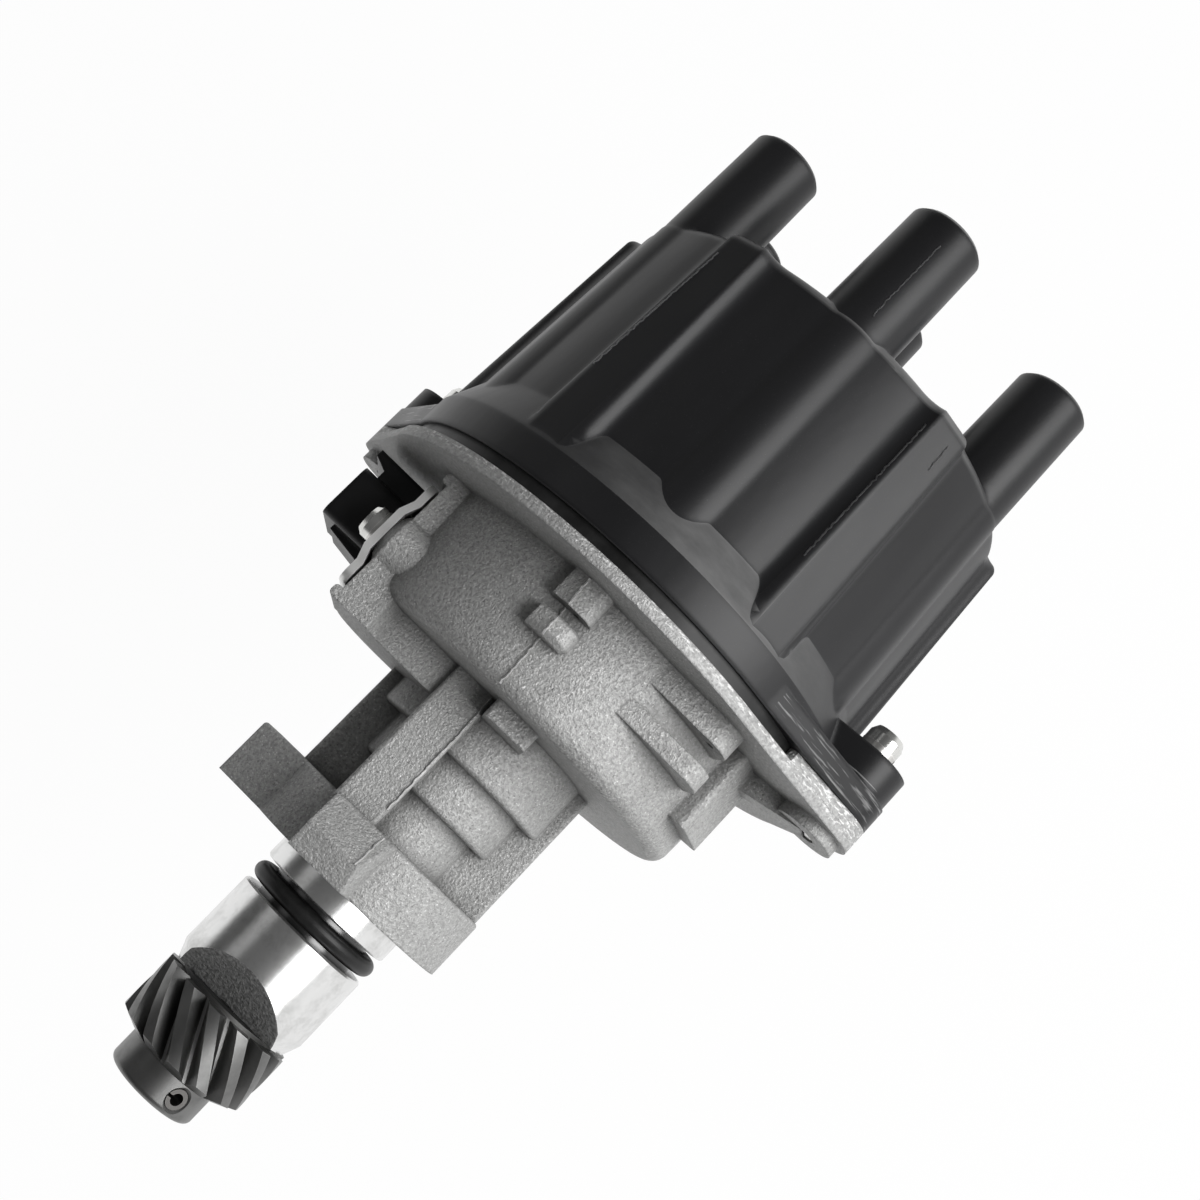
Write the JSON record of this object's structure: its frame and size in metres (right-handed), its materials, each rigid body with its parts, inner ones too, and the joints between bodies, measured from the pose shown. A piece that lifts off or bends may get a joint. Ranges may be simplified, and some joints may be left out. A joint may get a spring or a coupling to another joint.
{
  "type": "ignition distributor",
  "caption": "Ignition distributor: a fluted cap with lead towers on a flanged cast housing, driven by a helical gear at the foot of its shaft.",
  "frame": {"origin": "on the shaft axis, at the underside of the mounting flange, which seats on the engine", "axes": "+Z along the shaft axis towards the cap's towers, -Y to the front of the object as pictured, -X to the electrical connector"},
  "size_m": [0.1256, 0.11, 0.2142],
  "materials": {
    "cast_aluminium": "as-cast, machined on the journal",
    "cap_plastic": "semi-gloss moulded",
    "seal_rubber": "satin",
    "terminal_metal": "satin",
    "carbon": "matt, slightly shiny from use",
    "spring_steel": "bright",
    "zinc_steel": "zinc plated",
    "ground_steel": "ground",
    "gear_steel": "dark hobbed steel, oiled",
    "pin_steel": "dark",
    "washer_steel": "satin",
    "bush_bronze": "sintered",
    "bearing_steel": "ground and polished",
    "cage_steel": "pressed",
    "disc_steel": "etched sheet",
    "sensor_plastic": "moulded",
    "cover_plastic": "moulded",
    "rotor_plastic": "moulded",
    "rotor_brass": "stamped",
    "connector_plastic": "moulded",
    "pin_plating": "tin plated",
    "gasket_fibre": "matt",
    "bracket_steel": "zinc plated sheet"
  },
  "bodies": {
    "distributor_body": {"housing": "cast_aluminium", "journal_o_ring": "seal_rubber", "cap_seal": "seal_rubber", "cap": "cap_plastic", "side_terminals": "terminal_metal", "centre_terminal": "terminal_metal", "brush_spring": "spring_steel", "cap_screws": "zinc_steel", "cap_washers": "zinc_steel", "cap_spring_washers": "spring_steel", "lower_bush": "bush_bronze", "shaft_seal": "seal_rubber", "bearing_outer_race": "bearing_steel", "bearing_retainer": "bracket_steel", "retainer_screws": "zinc_steel", "sensor_unit": "sensor_plastic", "sensor_screws": "zinc_steel", "dust_cover": "cover_plastic", "cover_screws": "zinc_steel", "connector_body": "connector_plastic", "connector_pins": "pin_plating", "connector_gasket": "gasket_fibre", "connector_bracket": "bracket_steel", "bracket_washers": "spring_steel", "bracket_screws": "zinc_steel"},
    "shaft_group": {"shaft": "ground_steel", "drive_gear": "gear_steel", "gear_pin": "pin_steel", "thrust_washer": "washer_steel", "snap_ring": "spring_steel", "bearing_inner_race": "bearing_steel", "disc_hub": "washer_steel", "trigger_disc": "disc_steel", "disc_clamp": "washer_steel", "disc_screws": "zinc_steel", "rotor_arm": "rotor_plastic", "rotor_electrode": "rotor_brass", "rotor_screw": "zinc_steel"},
    "ball_cage": {"bearing_balls": "bearing_steel", "bearing_cage": "cage_steel"},
    "brush": {"carbon_brush": "carbon"}
  },
  "joints": [
    {"name": "shaft_spin", "type": "hinge", "parent": "distributor_body", "child": "shaft_group", "pos_m": [0, 0, 0], "axis": [0, 0, 1], "continuous": true},
    {"name": "cage_spin", "type": "hinge", "parent": "distributor_body", "child": "ball_cage", "pos_m": [0, 0, 0.044], "axis": [0, 0, 1], "continuous": true},
    {"name": "brush_slide", "type": "slide", "parent": "distributor_body", "child": "brush", "axis": [0, 0, 1], "range_m": [0, 0.0025], "stiffness_N_per_m": 100, "springref_m": -0.003, "deforming": ["brush_spring"]}
  ],
  "couplings": [
    {"joint": "cage_spin", "follows": "shaft_spin", "ratio": 0.365}
  ]
}
